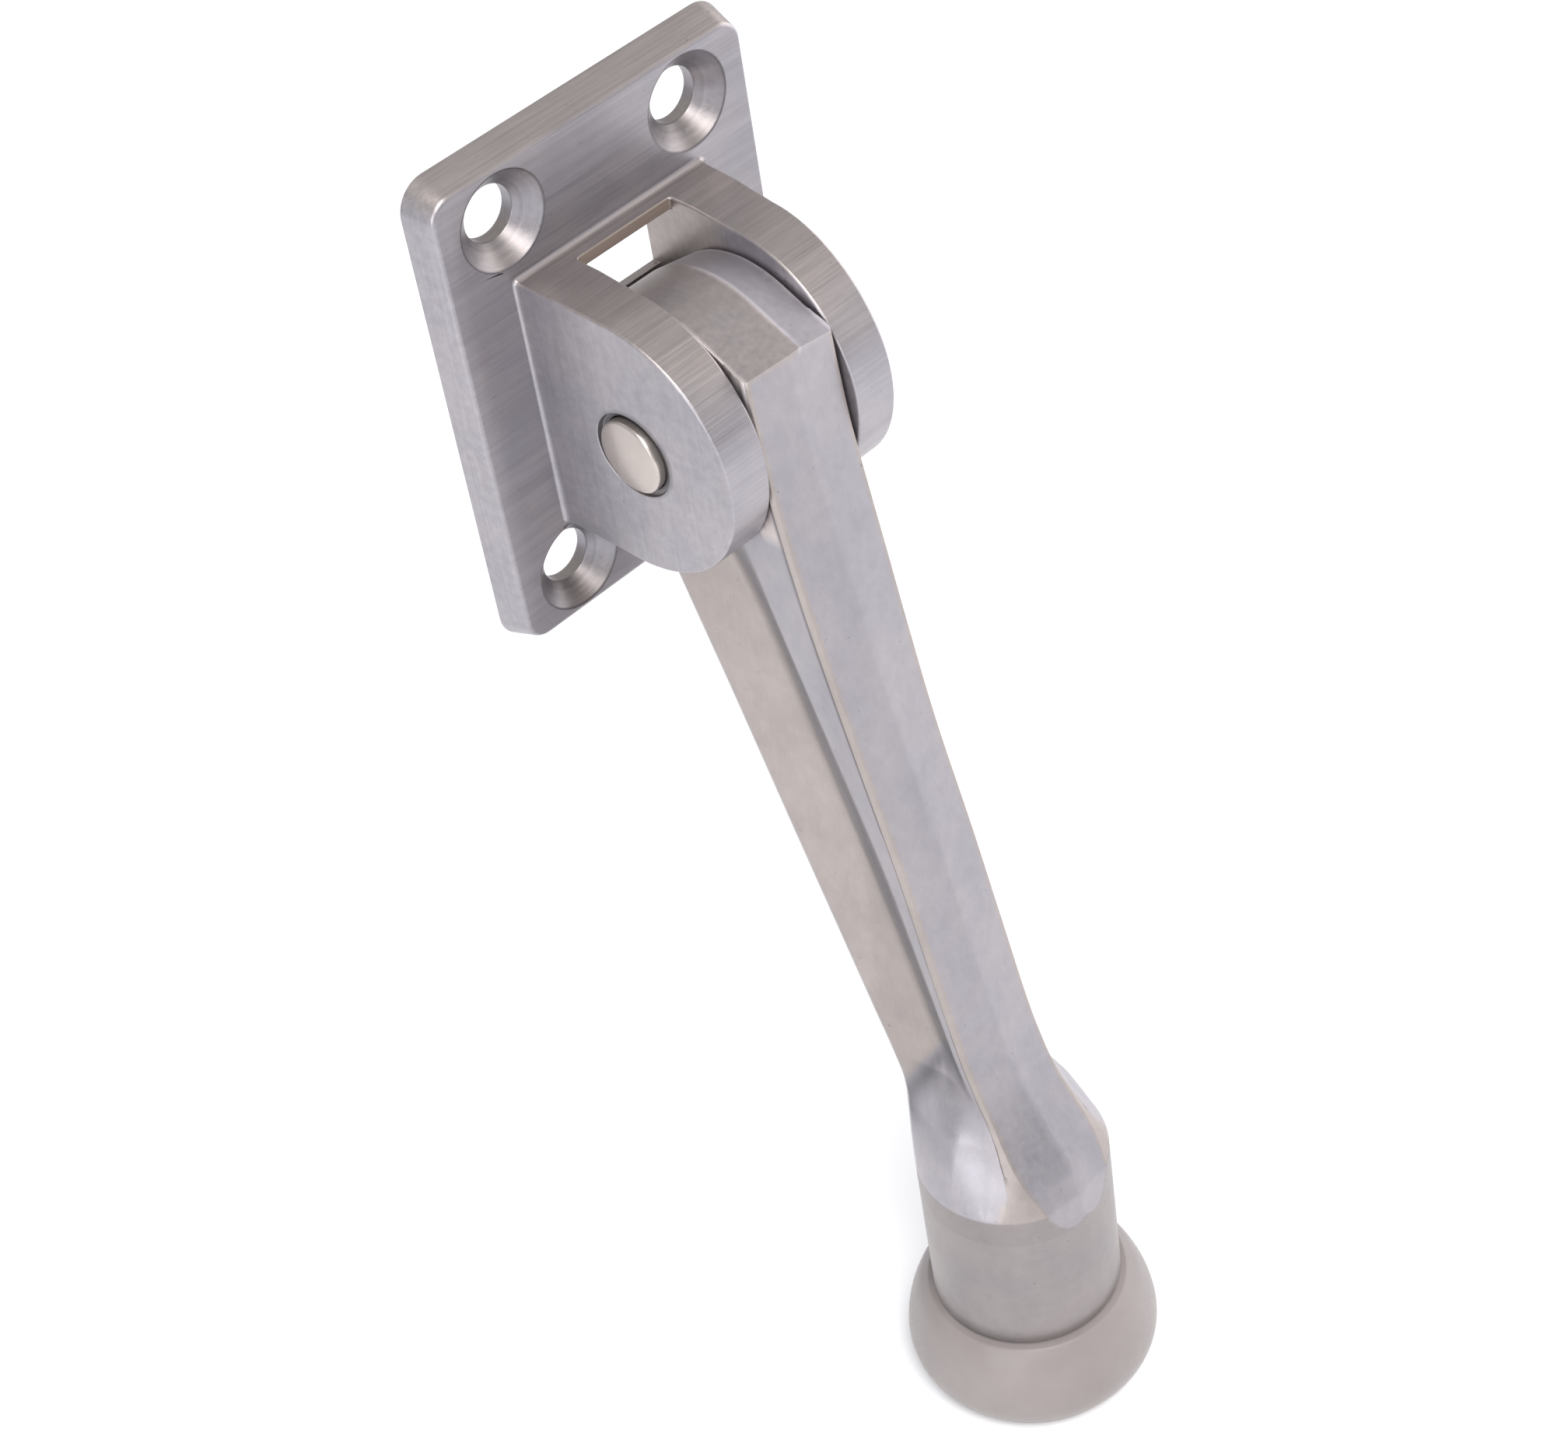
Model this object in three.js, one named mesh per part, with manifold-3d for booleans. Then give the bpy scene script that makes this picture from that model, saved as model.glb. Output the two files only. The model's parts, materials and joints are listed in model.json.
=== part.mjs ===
// Floor door holder of the kick-down kind. A plate screws to the foot of a door, an arm swings between
// its two ears on a riveted pin, and a rubber tip on the arm grips the floor.
// Millimetres, +Z up. The origin is the centre of the plate's back face, which lies on the door.
// The door is behind it, towards +Y, and the arm stands out towards -Y. The arm is modelled kicked down.
import * as THREE from "three";
import { mergeVertices } from "three/addons/utils/BufferGeometryUtils.js";
import Module from "manifold-3d";

const wasm = await Module();
wasm.setup();

// Driving dimensions of the bracket. The plate's sides and top and bottom lean in towards the front.
const plate = { width: 41.2, height: 55.6, thickness: 3.7, corner: 3.4, edge: 0.4, leanX: 0.85, leanZ: 1.3 };
const hole = { x: 12, z: 20.9, bore: 2.9, rim: 5.1 };
const pivot = { y: -16, z: -1.4 };
const ear = { inner: 6.1, root: 12.4, draft: 0.055, rootTop: 14.1, rootBottom: -14.95, nose: 14.6 };
const noseCentre = { y: pivot.y + 1.6, z: pivot.z + 0.5 };
const ledge = { reach: 2.1, height: 1.4 };
const opening = { bottom: pivot.z + 6.4 };
const relief = { halfWidth: 8.4, depth: 1.4, bottom: 3.7, top: 14.6 };
const recessRadius = 15;

// Driving dimensions of the pin and of the spring washers round it.
const pin = { shank: 3.95, head: 4.3, bore: 4.04, spotface: 4.65, floor: 11.2, proud: 1.05 };
const pinHead = { lift: 0.05, side: 0.15, dome: 0.35, flat: 0.6, flatRise: 0.7, chamfer: 0.93 };
const washer = { inner: 4.6, outer: 8.2, thickness: 0.4, wave: 0.3, lift: 0.05, seat: 0.85, seatRadius: 8.7 };

// Driving dimensions of the arm, whose levels and depths are measured from the pivot. lipCurve rounds the
// flute's rear lip, in shares of the lip's size.
const arm = { halfWidth: 5.8, drum: 13.4, edge: 0.55, edgeIn: 0.2, lip: 0.75 };
const headCorner = { y: -11.2, z: 9.75 };
const headRear = { y: 12.55, z: -4.7 };
const headFoot = { station: 2, inset: 1.5 };
const lipCurve = [[0.15, 0.4], [0.45, 0.1]];
const socket = { y: -27.9, radius: 10.82, turned: -96.2, rim: -114.35, bore: 7.5, boreDepth: 15 };

// Driving dimensions of the rubber tip, with depths below the socket's rim.
const tip = { gap: 0.25, mouth: 11.5, stem: 7.2, stemLength: 13, chamfer: 0.8, sole: 11.4, depth: 12.65 };
const bell = [[12.6, 1.65], [13.6, 3.85], [14.25, 6.15], [14.5, 8.3], [14.1, 10.3], [13.1, 11.8]];

const ROUND = 48;
const COVER = 1;

// Solids and meshes.

function solidFrom(geometry) {
  const bare = geometry.clone();
  bare.deleteAttribute("normal");
  bare.deleteAttribute("uv");
  const merged = mergeVertices(bare, 1e-4);
  return new wasm.Manifold(
    new wasm.Mesh({
      numProp: 3,
      vertProperties: new Float32Array(merged.getAttribute("position").array),
      triVerts: new Uint32Array(merged.index.array),
    }),
  );
}

function geometryFrom(solid) {
  const made = solid.getMesh();
  const indexed = new THREE.BufferGeometry();
  indexed.setAttribute("position", new THREE.BufferAttribute(made.vertProperties, 3));
  indexed.setIndex(new THREE.BufferAttribute(made.triVerts, 1));
  const flat = indexed.toNonIndexed();
  flat.computeVertexNormals();
  return flat;
}

function meshOf(name, geometry, finish) {
  const mesh = new THREE.Mesh(geometry, new THREE.MeshStandardMaterial(finish));
  mesh.name = name;
  return mesh;
}

// A closed solid through rings with equally many points. Each ring goes round its own centre.
function loft(rings) {
  const count = rings[0].length;
  const points = rings.flat();
  const faces = [];
  for (let r = 0; r + 1 < rings.length; r++) {
    for (let i = 0; i < count; i++) {
      const a = r * count + i;
      const b = r * count + ((i + 1) % count);
      faces.push(a, b, a + count, b, b + count, a + count);
    }
  }
  const lastStart = (rings.length - 1) * count;
  const firstHub = points.push(centreOf(rings[0])) - 1;
  const lastHub = points.push(centreOf(rings.at(-1))) - 1;
  for (let i = 0; i < count; i++) {
    const next = (i + 1) % count;
    faces.push(firstHub, next, i);
    faces.push(lastHub, lastStart + i, lastStart + next);
  }
  return outwardSolid(points, faces);
}

// A solid from points and triangles that all wind the same way, turned outwards if they face inwards.
function outwardSolid(points, faces) {
  const geometry = new THREE.BufferGeometry().setFromPoints(points);
  geometry.setIndex(faces);
  const solid = solidFrom(geometry);
  if (solid.volume() > 0) return solid;
  for (let i = 0; i < faces.length; i += 3) {
    [faces[i + 1], faces[i + 2]] = [faces[i + 2], faces[i + 1]];
  }
  geometry.setIndex(faces);
  return solidFrom(geometry);
}

function centreOf(ring) {
  return ring.reduce((sum, p) => sum.add(p), new THREE.Vector3()).divideScalar(ring.length);
}

function boxSolid(low, high) {
  const size = new THREE.Vector3().subVectors(high, low);
  const middle = new THREE.Vector3().addVectors(low, high).multiplyScalar(0.5);
  const geometry = new THREE.BoxGeometry(size.x, size.y, size.z);
  return solidFrom(geometry.translate(middle.x, middle.y, middle.z));
}

// A round bar along X, between two x values, round the pivot.
function barX(radius, from, to) {
  const geometry = new THREE.CylinderGeometry(radius, radius, to - from, ROUND);
  geometry.rotateZ(Math.PI / 2).translate((from + to) / 2, pivot.y, pivot.z);
  return solidFrom(geometry);
}

// Bracket.

function roundedRing(halfWidth, halfHeight, corner, y) {
  const steps = 5;
  const ring = [];
  const corners = [[1, 1], [-1, 1], [-1, -1], [1, -1]];
  corners.forEach(([sx, sz], quarter) => {
    for (let i = 0; i <= steps; i++) {
      const angle = ((quarter + i / steps) * Math.PI) / 2;
      const x = sx * (halfWidth - corner) + corner * Math.cos(angle);
      const z = sz * (halfHeight - corner) + corner * Math.sin(angle);
      ring.push(new THREE.Vector3(x, y, z));
    }
  });
  return ring;
}

// The plate narrows from its back face to its front face, whose edge is rounded.
function plateSolid() {
  const steps = 3;
  const levels = [[0, 0]];
  for (let i = 0; i <= steps; i++) {
    const angle = ((i / steps) * Math.PI) / 2;
    levels.push([plate.thickness - plate.edge * (1 - Math.sin(angle)), plate.edge * (1 - Math.cos(angle))]);
  }
  const rings = levels.map(([depth, inset]) => {
    const share = depth / plate.thickness;
    const halfWidth = plate.width / 2 - plate.leanX * share - inset;
    const halfHeight = plate.height / 2 - plate.leanZ * share - inset;
    return roundedRing(halfWidth, halfHeight, plate.corner - plate.leanX * share - inset, -depth);
  });
  return loft(rings);
}

// An ear's outline: a straight top and bottom edge that end in a half-round nose.
function earOutline() {
  const steps = 28;
  const outline = [[-COVER, ear.rootBottom], [-COVER, ear.rootTop]];
  outline.push([-plate.thickness, ear.rootTop]);
  for (let i = 0; i <= steps; i++) {
    const angle = Math.PI / 2 + (i / steps) * Math.PI;
    outline.push([noseCentre.y + ear.nose * Math.cos(angle), noseCentre.z + ear.nose * Math.sin(angle)]);
  }
  outline.push([-plate.thickness, ear.rootBottom]);
  return outline;
}

// side is -1 or 1. The outer face leans in towards the nose by the casting's draft.
function earSolid(side) {
  const outline = earOutline();
  const outerX = (y) => ear.root + ear.draft * (y + plate.thickness);
  const inside = outline.map(([y, z]) => new THREE.Vector3(side * ear.inner, y, z));
  const outside = outline.map(([y, z]) => new THREE.Vector3(side * outerX(y), y, z));
  return loft([inside, outside]);
}

// The bar that joins the ears along the top of the window.
function ledgeSolid() {
  const low = new THREE.Vector3(-ear.inner - COVER, -plate.thickness - ledge.reach, ear.rootTop - ledge.height);
  const high = new THREE.Vector3(ear.inner + COVER, -COVER, ear.rootTop);
  return boxSolid(low, high);
}

function screwHole(x, z) {
  const slope = hole.rim - hole.bore;
  const profile = [
    new THREE.Vector2(0, -COVER),
    new THREE.Vector2(hole.bore, -COVER),
    new THREE.Vector2(hole.bore, plate.thickness - slope),
    new THREE.Vector2(hole.rim, plate.thickness),
    new THREE.Vector2(hole.rim, plate.thickness + COVER),
    new THREE.Vector2(0, plate.thickness + COVER),
  ];
  const geometry = new THREE.LatheGeometry(profile, ROUND / 2);
  return solidFrom(geometry.rotateX(Math.PI).translate(x, 0, z));
}

// The window above the arm's head, cut through the plate from ear to ear.
function windowSolid() {
  const low = new THREE.Vector3(-ear.inner, -plate.thickness - COVER, opening.bottom);
  const high = new THREE.Vector3(ear.inner, COVER, ear.rootTop - ledge.height);
  return boxSolid(low, high);
}

// The shallow relief in the plate's back, round the window.
function reliefSolid() {
  const low = new THREE.Vector3(-relief.halfWidth, -relief.depth, relief.bottom);
  const high = new THREE.Vector3(relief.halfWidth, COVER, relief.top);
  return boxSolid(low, high);
}

function bracketGeometry() {
  let solid = plateSolid();
  for (const side of [-1, 1]) solid = solid.add(earSolid(side));
  solid = solid.add(ledgeSolid()).subtract(windowSolid()).subtract(reliefSolid());
  solid = solid.subtract(barX(recessRadius, -ear.inner, ear.inner));
  solid = solid.subtract(barX(pin.bore, -ear.root - COVER, ear.root + COVER));
  for (const side of [-1, 1]) {
    const ends = [side * pin.floor, side * (ear.root + COVER)].sort((a, b) => a - b);
    solid = solid.subtract(barX(pin.spotface, ...ends));
    for (const up of [-1, 1]) solid = solid.subtract(screwHole(side * hole.x, up * hole.z));
  }
  return geometryFrom(solid);
}

// Pivot rivet: a shank through both ears with a low domed head at each end.
function rivetGeometry() {
  const end = pin.floor + pin.proud;
  const half = [
    new THREE.Vector2(pin.shank, pin.floor + pinHead.lift),
    new THREE.Vector2(pin.head, pin.floor + pinHead.lift),
    new THREE.Vector2(pin.head, end - pinHead.side),
    new THREE.Vector2(pin.head * pinHead.chamfer, end),
    new THREE.Vector2(pin.head * pinHead.flat, end + pinHead.dome * pinHead.flatRise),
    new THREE.Vector2(0, end + pinHead.dome),
  ];
  const mirrored = half.map((p) => new THREE.Vector2(p.x, -p.y));
  const geometry = new THREE.LatheGeometry([...mirrored.reverse(), ...half], ROUND);
  return geometry.rotateZ(Math.PI / 2).translate(0, pivot.y, pivot.z);
}

// A curved spring washer: a flat ring bent in two waves, in its seat in the arm's head.
function washerGeometry(side) {
  const steps = 36;
  const rings = [];
  const middle = arm.halfWidth - washer.seat + washer.thickness / 2 + washer.wave + washer.lift;
  for (let i = 0; i < steps; i++) {
    const angle = (i / steps) * 2 * Math.PI;
    const lift = middle + washer.wave * Math.cos(2 * angle);
    const at = (radius, x) =>
      new THREE.Vector3(side * x, pivot.y + radius * Math.cos(angle), pivot.z + radius * Math.sin(angle));
    const inX = lift - washer.thickness / 2;
    const outX = lift + washer.thickness / 2;
    rings.push([at(washer.inner, inX), at(washer.outer, inX), at(washer.outer, outX), at(washer.inner, outX)]);
  }
  const faces = [];
  for (let i = 0; i < steps; i++) {
    const here = i * 4;
    const there = ((i + 1) % steps) * 4;
    for (let k = 0; k < 4; k++) {
      const next = (k + 1) % 4;
      faces.push(here + k, there + k, here + next, here + next, there + k, there + next);
    }
  }
  return geometryFrom(outwardSolid(rings.flat(), faces));
}

// Arm.

// Stations down the blade, measured from the pivot. front and rear are the depths of its two edges,
// w is half its width in front and wr behind, and crease is how far its front stands out in the middle.
// The flat side runs back by strip to the flute, a valley whose bottom is at (fx, fy).
const stations = [
  { z: 9.7, front: -11.2, crease: 0.1, w: 5.8, strip: 3, fx: 5.8, fy: -5.5, rear: -3, wr: 5.8 },
  { z: -1, front: -12.2, crease: 0.3, w: 5.8, strip: 4, fx: 5.8, fy: -4.5, rear: 0, wr: 5.8 },
  { z: -9, front: -13.5, crease: 0.5, w: 5.8, strip: 6, fx: 5.7, fy: -1.6, rear: 9.6, wr: 5.6 },
  { z: -16, front: -14.8, crease: 0.65, w: 5.75, strip: 5.5, fx: 3.7, fy: -3.3, rear: 7.75, wr: 5.45 },
  { z: -24, front: -16.4, crease: 0.75, w: 5.6, strip: 4.7, fx: 3.0, fy: -5.9, rear: 4.95, wr: 5.35 },
  { z: -36, front: -19.05, crease: 0.8, w: 5.35, strip: 3.4, fx: 2.9, fy: -9.7, rear: 0.45, wr: 5.3 },
  { z: -50, front: -22.6, crease: 0.85, w: 5.3, strip: 2.0, fx: 2.9, fy: -14.4, rear: -4.7, wr: 5.3 },
  { z: -64, front: -25.75, crease: 0.85, w: 5.35, strip: 1.1, fx: 3.0, fy: -19.2, rear: -9.9, wr: 5.3 },
  { z: -75, front: -28.4, crease: 0.85, w: 5.35, strip: 0.8, fx: 3.2, fy: -22.9, rear: -14.1, wr: 5.35 },
  { z: -79.5, front: -30.0, crease: 0.85, w: 5.35, strip: 0.8, fx: 3.5, fy: -24.2, rear: -15.9, wr: 5.4 },
  { z: -82.5, front: -31.4, crease: 0.9, w: 5.45, strip: 1.4, fx: 4.2, fy: -24.5, rear: -17.1, wr: 5.5 },
  { z: -84.7, front: -32.4, crease: 1.0, w: 5.65, strip: 2.5, fx: 5.2, fy: -24.5, rear: -17.6, wr: 5.6 },
];

// Levels of the shoulder, where the blade swells into the round socket. front and side are the two
// edges of the band between the front face and the side, and blend is how round the rest has become.
const shoulder = [
  { z: -86.3, crease: -34.7, front: [5.8, -33.4], side: [6.25, -32.7], blend: 0.5 },
  { z: -88, crease: -35.85, front: [5.8, -34.65], side: [6.65, -33.5], blend: 0.74 },
  { z: -90, crease: -37.0, front: [5.5, -36.1], side: [7.1, -34.5], blend: 0.9 },
  { z: -92.8, crease: -38.2, front: [4.85, -37.5], side: [7.65, -35.55], blend: 1 },
];

// One level of the blade, from the crease in front round the +X side to the rear.
function bladeSide(s) {
  const face = [s.w - arm.edgeIn, s.front];
  const flatStart = [s.w + arm.edgeIn / 2, s.front + arm.edge];
  const flatEnd = [flatStart[0], flatStart[1] + s.strip];
  const valley = [s.fx, s.fy];
  const lip = [s.wr, s.rear - arm.lip];
  return [
    [0, s.front - s.crease],
    [face[0] / 2, s.front - s.crease / 2],
    face,
    between(face, flatStart, 0.5),
    flatStart,
    flatEnd,
    between(flatEnd, valley, 0.5),
    valley,
    between(valley, lip, 0.5),
    lip,
    ...lipCurve.map(([across, along]) => [s.wr - arm.lip * across, s.rear - arm.lip * along]),
    [s.wr - arm.lip, s.rear],
    [0, s.rear],
  ];
}

function between([ax, ay], [bx, by], share) {
  return [ax + (bx - ax) * share, ay + (by - ay) * share];
}

// A level where the arm is round, with the same number of points.
function roundSide() {
  const degrees = [0, 13, 27, 36, 45, 55, 68, 84, 102, 120, 134, 149, 165, 180];
  return degrees.map((d) => {
    const angle = THREE.MathUtils.degToRad(d);
    return [socket.radius * Math.sin(angle), socket.y - socket.radius * Math.cos(angle)];
  });
}

function shoulderSide(level) {
  const base = bladeSide(stations.at(-1));
  const round = roundSide();
  const side = base.map((point, i) => between(point, round[i], level.blend));
  side[0] = [0, level.crease];
  side[1] = between(side[0], level.front, 0.5);
  side[2] = level.front;
  side[3] = between(level.front, level.side, 0.5);
  side[4] = level.side;
  return side;
}

// A closed ring at a level, from one side and its mirror image.
function mirroredRing(side, z) {
  const at = ([x, y]) => new THREE.Vector3(x, pivot.y + y, pivot.z + z);
  const back = side.slice(1, -1).reverse().map(([x, y]) => [-x, y]);
  return [...side, ...back].map(at);
}

// The head: a drum round the pin whose top runs on, straight, to a sharp front corner.
function headSolid() {
  const reach = Math.hypot(headCorner.y, headCorner.z);
  const cornerAngle = Math.atan2(headCorner.z, headCorner.y);
  const tangentAngle = cornerAngle - Math.acos(arm.drum / reach);
  const rearAngle = Math.atan2(headRear.z, headRear.y);
  const foot = stations[headFoot.station];
  const steps = 22;
  const outline = [[foot.front + headFoot.inset, foot.z], [headCorner.y, headCorner.z]];
  for (let i = 0; i <= steps; i++) {
    const angle = tangentAngle + (i / steps) * (rearAngle - tangentAngle);
    outline.push([arm.drum * Math.cos(angle), arm.drum * Math.sin(angle)]);
  }
  outline.push([foot.rear, foot.z]);
  const level = (x) => outline.map(([y, z]) => new THREE.Vector3(x, pivot.y + y, pivot.z + z));
  return loft([level(-arm.halfWidth), level(arm.halfWidth)]);
}

function armGeometry() {
  const shaft = stations.map((s) => mirroredRing(bladeSide(s), s.z));
  for (const level of shoulder) shaft.push(mirroredRing(shoulderSide(level), level.z));
  shaft.push(mirroredRing(roundSide(), socket.turned));
  shaft.push(mirroredRing(roundSide(), socket.rim));
  let solid = headSolid().add(loft(shaft));
  solid = solid.subtract(barX(pin.bore, -arm.halfWidth - COVER, arm.halfWidth + COVER));
  solid = solid.subtract(barX(washer.seatRadius, arm.halfWidth - washer.seat, arm.halfWidth + COVER));
  solid = solid.subtract(barX(washer.seatRadius, -arm.halfWidth - COVER, -arm.halfWidth + washer.seat));
  const bore = new THREE.CylinderGeometry(socket.bore, socket.bore, socket.boreDepth + COVER, ROUND);
  const middle = pivot.z + socket.rim + (socket.boreDepth - COVER) / 2;
  bore.rotateX(Math.PI / 2).translate(0, pivot.y + socket.y, middle);
  return geometryFrom(solid.subtract(solidFrom(bore)));
}

// Rubber tip: a bell-shaped foot with a stem that plugs into the socket.
function tipGeometry() {
  const profile = [
    [0, -tip.stemLength],
    [tip.stem - tip.chamfer, -tip.stemLength],
    [tip.stem, tip.chamfer - tip.stemLength],
    [tip.stem, tip.gap],
    [tip.mouth, tip.gap],
    ...bell,
    [tip.sole, tip.depth],
    [0, tip.depth],
  ].map(([radius, depth]) => new THREE.Vector2(radius, -depth));
  const geometry = new THREE.LatheGeometry(profile.reverse(), ROUND);
  return geometry.rotateX(Math.PI / 2).translate(0, pivot.y + socket.y, pivot.z + socket.rim);
}

const satin = { color: 0x9c9aa2, roughness: 0.38, metalness: 1 };
const brushed = { color: 0xa8a4a8, roughness: 0.32, metalness: 1 };
const nickel = { color: 0xb0a8a2, roughness: 0.25, metalness: 1 };
const spring = { color: 0x8b8d90, roughness: 0.3, metalness: 1 };
const rubber = { color: 0x988f8d, roughness: 0.75, metalness: 0 };

const holder = new THREE.Group();
holder.add(meshOf("bracket", bracketGeometry(), satin));
holder.add(meshOf("arm", armGeometry(), brushed));
holder.add(meshOf("pivot_rivet", rivetGeometry(), nickel));
holder.add(meshOf("spring_washer_left", washerGeometry(-1), spring));
holder.add(meshOf("spring_washer_right", washerGeometry(1), spring));
holder.add(meshOf("rubber_tip", tipGeometry(), rubber));

export default holder;
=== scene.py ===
# The looks of the floor door holder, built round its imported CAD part. Sizes in the functions below
# are in millimetres, in the CAD part's frame, and MM turns them into Blender's metres.
import json
import math

import bmesh
import bpy
import numpy as np
from mathutils import Matrix, Vector


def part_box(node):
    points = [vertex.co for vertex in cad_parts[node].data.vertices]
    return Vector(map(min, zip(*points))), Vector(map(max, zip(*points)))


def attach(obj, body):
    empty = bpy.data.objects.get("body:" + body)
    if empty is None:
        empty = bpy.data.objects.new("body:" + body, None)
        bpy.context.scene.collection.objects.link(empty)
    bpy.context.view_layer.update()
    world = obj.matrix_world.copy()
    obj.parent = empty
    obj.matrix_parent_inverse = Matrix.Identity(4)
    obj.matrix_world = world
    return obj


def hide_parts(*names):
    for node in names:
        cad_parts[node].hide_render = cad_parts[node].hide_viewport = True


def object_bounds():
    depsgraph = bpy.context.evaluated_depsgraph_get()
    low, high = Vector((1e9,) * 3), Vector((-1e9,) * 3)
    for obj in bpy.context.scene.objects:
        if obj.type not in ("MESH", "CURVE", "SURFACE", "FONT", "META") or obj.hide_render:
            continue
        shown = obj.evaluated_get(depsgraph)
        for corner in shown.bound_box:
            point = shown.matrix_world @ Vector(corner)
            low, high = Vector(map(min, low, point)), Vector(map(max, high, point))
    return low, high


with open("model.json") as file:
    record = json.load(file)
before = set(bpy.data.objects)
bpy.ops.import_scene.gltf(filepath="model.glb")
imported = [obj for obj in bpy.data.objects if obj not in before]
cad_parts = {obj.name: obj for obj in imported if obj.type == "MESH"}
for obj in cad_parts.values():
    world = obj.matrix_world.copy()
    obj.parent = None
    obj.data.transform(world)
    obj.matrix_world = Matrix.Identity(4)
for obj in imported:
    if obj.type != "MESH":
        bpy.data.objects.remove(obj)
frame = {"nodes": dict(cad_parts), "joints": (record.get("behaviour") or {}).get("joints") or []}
cad_low, cad_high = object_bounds()

MM = 0.001
HINGE = frame["joints"][0]
PIVOT_Y = HINGE["pos_m"][1] / MM
PIVOT_Z = HINGE["pos_m"][2] / MM


def box_mm(node):
    low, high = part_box(node)
    return Vector(low) / MM, Vector(high) / MM


_, BRACKET_HIGH = box_mm("bracket")

# Bracket.
PLATE_HALF_WIDTH = BRACKET_HIGH.x
PLATE_HALF_HEIGHT = BRACKET_HIGH.z
PLATE_THICKNESS = 3.7
PLATE_CORNER = 3.4
PLATE_EDGE = 0.4
PLATE_LEAN_X = 0.85
PLATE_LEAN_Z = 1.3
HOLE_X, HOLE_Z = 12.0, 20.9
HOLE_BORE, HOLE_RIM = 2.9, 5.1
EAR_INNER, EAR_ROOT, EAR_DRAFT = 6.1, 12.4, 0.055
EAR_TOP, EAR_BOTTOM, EAR_FLAT = 14.1, -14.95, 3.2
NOSE_RADIUS = 14.6
NOSE_Y, NOSE_Z = PIVOT_Y + 1.6, PIVOT_Z + 0.5
LEDGE_REACH, LEDGE_HEIGHT = 2.1, 1.4
WINDOW_BOTTOM = PIVOT_Z + 6.4
RELIEF_HALF_WIDTH, RELIEF_DEPTH, RELIEF_BOTTOM, RELIEF_TOP = 8.4, 1.4, 3.7, 14.6
RECESS_RADIUS = 15.0
PIN_BORE, SPOTFACE, SPOTFACE_FLOOR = 4.04, 4.65, 11.2
ROOT_FILLET, OUTER_EDGE, LEDGE_EDGE, BACK_EDGE, PIN_EDGE, FINE_EDGE = 0.8, 0.3, 0.2, 0.15, 0.12, 0.1

# Pin.
PIN_SHANK, PIN_HEAD, PIN_PROUD, PIN_DOME, PIN_RIM, PIN_LIFT = 3.95, 4.0, 1.05, 0.35, 0.3, 0.05

# Arm, with levels and depths measured from the pivot.
ARM_HALF_WIDTH = 5.8
DRUM_RADIUS = 13.4
CORNER_Y, CORNER_Z = -11.2, 9.75
HEAD_REAR_Y, HEAD_REAR_Z = 12.55, -4.7
SEAT_RADIUS, SEAT_DEPTH = 8.7, 0.85
EDGE, EDGE_IN, LIP = 0.55, 0.2, 0.75
HEAD_RIDGE, HEAD_SLOPE, HEAD_RIM, HEAD_SETBACK, HEAD_SINK = 1.3, 0.15, 0.22, 0.2, 0.06
SOCKET_Y, SOCKET_RADIUS = -27.9, 10.82
SOCKET_TURNED, SOCKET_RIM = -92.8, -114.35
SOCKET_BORE, SOCKET_DEPTH, SOCKET_CHAMFER = 7.5, 15.0, 0.4
RIM_CHAMFER, RIM_SLOPE = 0.3, 0.7
TONGUE_END = -96.6

# How far cutters and hidden ends run past the surface they cut.
COVER = 1.0


# Meshes.


def new_object(name, points, faces):
    mesh = bpy.data.meshes.new(name)
    mesh.from_pydata([tuple(c * MM for c in p) for p in points], [], faces)
    mesh.update()
    made = bpy.data.objects.new(name, mesh)
    bpy.context.scene.collection.objects.link(made)
    return made


def outward(made):
    work = bmesh.new()
    work.from_mesh(made.data)
    bmesh.ops.recalc_face_normals(work, faces=work.faces)
    work.to_mesh(made.data)
    work.free()
    return made


def loft(name, rings):
    """A closed solid through rings with equally many points, capped at both ends."""
    count = len(rings[0])
    points = [tuple(p) for ring in rings for p in ring]
    faces = []
    for r in range(len(rings) - 1):
        for i in range(count):
            j = (i + 1) % count
            a, b = r * count, (r + 1) * count
            faces.append((a + i, a + j, b + j, b + i))
    faces.append(tuple(range(count)))
    last = (len(rings) - 1) * count
    faces.append(tuple(last + i for i in reversed(range(count))))
    made = outward(new_object(name, points, faces))
    for layer in ("warmth", "shade"):
        store_values(made, layer, [0.0] * len(points))
    return made


def store_values(made, name, values):
    """Keeps one number a vertex for the material to read. Cuts don't carry them over to the head's
    faces reliably, so tint_head sets those again."""
    layer = made.data.attributes.get(name) or made.data.attributes.new(name, "FLOAT", "POINT")
    layer.data.foreach_set("value", values)


def box_solid(name, low, high):
    ring = [(low[0], low[1]), (high[0], low[1]), (high[0], high[1]), (low[0], high[1])]
    return loft(name, [[(x, y, z) for x, y in ring] for z in (low[2], high[2])])


def bar_x(name, radius, start, end, steps=96):
    """A round bar along X round the pivot."""
    rings = []
    for x in (start, end):
        turns = [2 * math.pi * i / steps for i in range(steps)]
        rings.append([(x, PIVOT_Y + radius * math.cos(t), PIVOT_Z + radius * math.sin(t)) for t in turns])
    return loft(name, rings)


def turned(name, profile, place, steps=96):
    """A solid of revolution: profile is (radius, height) from end to end, and place maps (a, b, height)."""
    rings = []
    for radius, height in profile:
        turns = [2 * math.pi * i / steps for i in range(steps)]
        rings.append([place(radius * math.cos(t), radius * math.sin(t), height) for t in turns])
    return loft(name, rings)


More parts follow.
